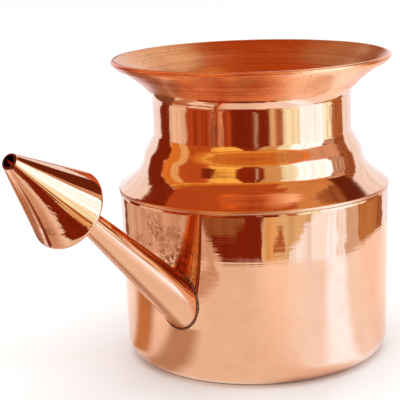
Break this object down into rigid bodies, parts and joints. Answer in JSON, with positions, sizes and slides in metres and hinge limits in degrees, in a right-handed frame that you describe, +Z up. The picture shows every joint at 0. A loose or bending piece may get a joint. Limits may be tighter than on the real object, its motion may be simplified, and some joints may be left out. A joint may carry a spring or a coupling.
{
  "type": "neti pot",
  "caption": "Polished copper neti pot: round cup with a stepped neck and flared mouth, and a slanted tapered spout that ends in a cone-shaped nose piece for rinsing the nose.",
  "frame": {"origin": "centre of the flat underside of the base, on the axis of the cup", "axes": "+Z up along the axis of the cup and the mouth; the spout leaves the cup along -X, and the XZ plane is the plane of symmetry"},
  "size_m": [0.1765, 0.0998, 0.1087],
  "materials": {
    "polished_copper": "mirror-polished copper with fine turning lines",
    "solder": "dull, darkened solder"
  },
  "bodies": {
    "root": {"body_cup": "polished_copper", "neck_mouth": "polished_copper", "shoulder_seam_solder": "solder", "spout_tube": "polished_copper", "spout_root_solder": "solder", "nose_cone": "polished_copper", "nose_back_disc": "polished_copper", "nose_seam_solder": "solder", "nose_collar_solder": "solder"}
  },
  "joints": []
}
